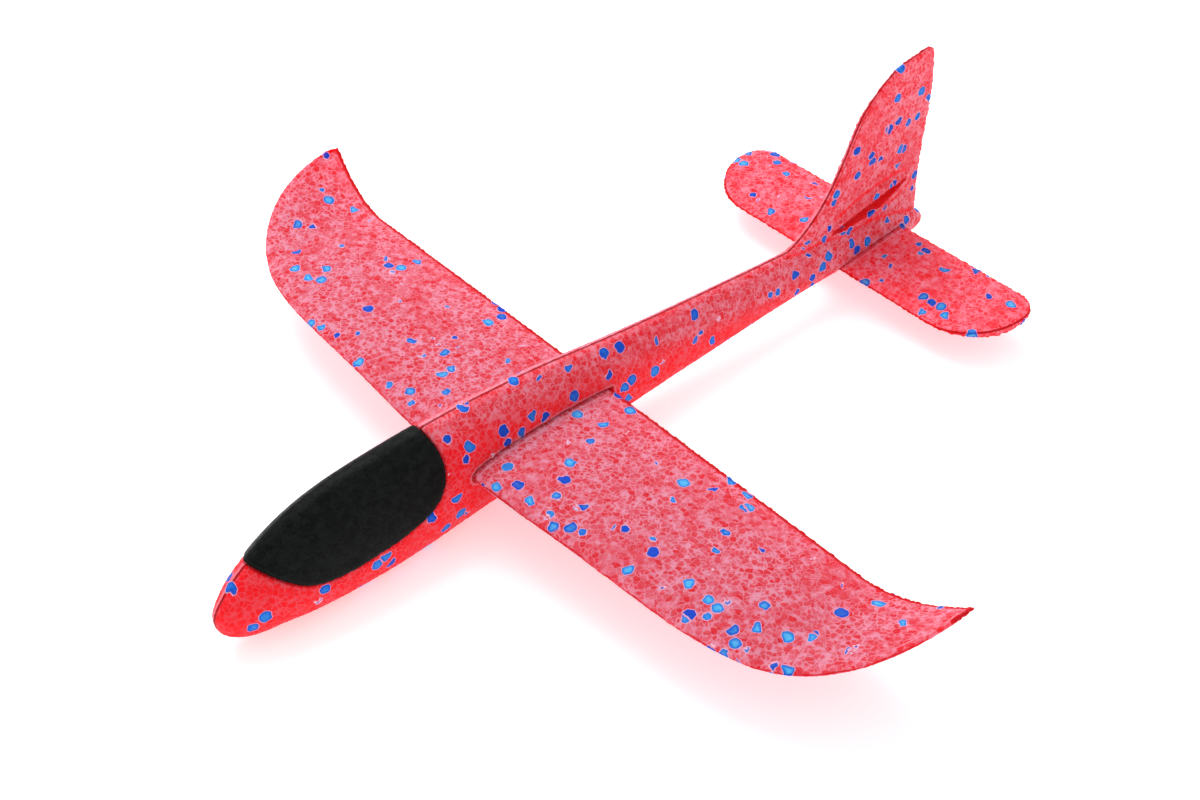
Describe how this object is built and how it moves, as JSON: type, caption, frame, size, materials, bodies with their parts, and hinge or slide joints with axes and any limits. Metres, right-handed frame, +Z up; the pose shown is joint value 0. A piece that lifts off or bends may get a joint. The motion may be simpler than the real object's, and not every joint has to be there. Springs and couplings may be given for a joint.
{
  "type": "toy airplane",
  "caption": "Hand-launched moulded foam glider: slotted fuselage with fin and dark canopy, one-piece wing and tailplane that slide into cross slots.",
  "frame": {"origin": "on the ground plane under the aircraft, on its centre plane, half way between nose and tail end; z = 0 is the lowest point of the belly", "axes": "+Y towards the tail, so the nose points to -Y; +X towards the aircraft's left wing tip; +Z up"},
  "size_m": [0.48, 0.482, 0.1338],
  "materials": {
    "red_foam": "matte",
    "black_foam": "matte",
    "steel": "satin"
  },
  "bodies": {
    "fuselage": {"fuselage": "red_foam", "canopy": "black_foam", "nose_weight": "steel"},
    "wing": {"wing": "red_foam"},
    "tailplane": {"tailplane": "red_foam"}
  },
  "joints": [
    {"name": "wing_slide", "type": "slide", "parent": "fuselage", "child": "wing", "axis": [1, 0, 0], "range_m": [-0.165, 0.165]},
    {"name": "tailplane_slide", "type": "slide", "parent": "fuselage", "child": "tailplane", "axis": [1, 0, 0], "range_m": [-0.13, 0.13]}
  ]
}
